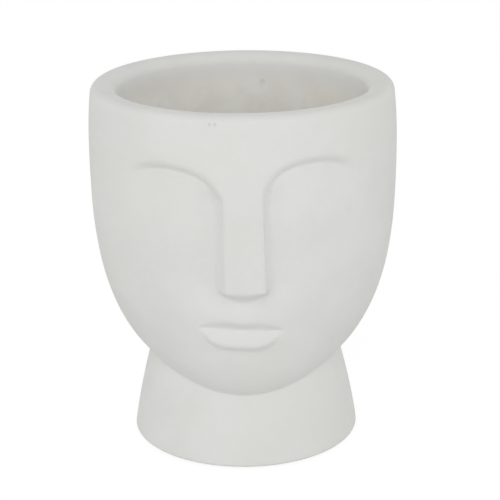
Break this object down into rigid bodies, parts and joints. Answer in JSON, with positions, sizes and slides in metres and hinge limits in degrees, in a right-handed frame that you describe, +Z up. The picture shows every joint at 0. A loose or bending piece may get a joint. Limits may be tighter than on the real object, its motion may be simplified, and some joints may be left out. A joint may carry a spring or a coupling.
{
  "type": "head planter",
  "caption": "Cast plant pot in the shape of a head and neck with a plain face in relief, an open planting bowl, a drain bung and felt feet.",
  "frame": {"origin": "on the table plane under the centre of the base ring, on the upright axis of the head and neck", "axes": "+Z up out of the planting bowl, the face looks along -Y, +X to the face's left as seen by the face"},
  "size_m": [0.1502, 0.1504, 0.1805],
  "materials": {
    "cement": "matte",
    "bung_rubber": "matte",
    "felt": "matte"
  },
  "bodies": {
    "pot": {"planter_body": "cement", "foot_pad_1": "felt", "foot_pad_2": "felt", "foot_pad_3": "felt", "foot_pad_4": "felt"},
    "plug": {"drain_plug": "bung_rubber"}
  },
  "joints": [
    {"name": "plug_lift", "type": "slide", "parent": "pot", "child": "plug", "axis": [0, 0, 1], "range_m": [0, 0.19]}
  ]
}
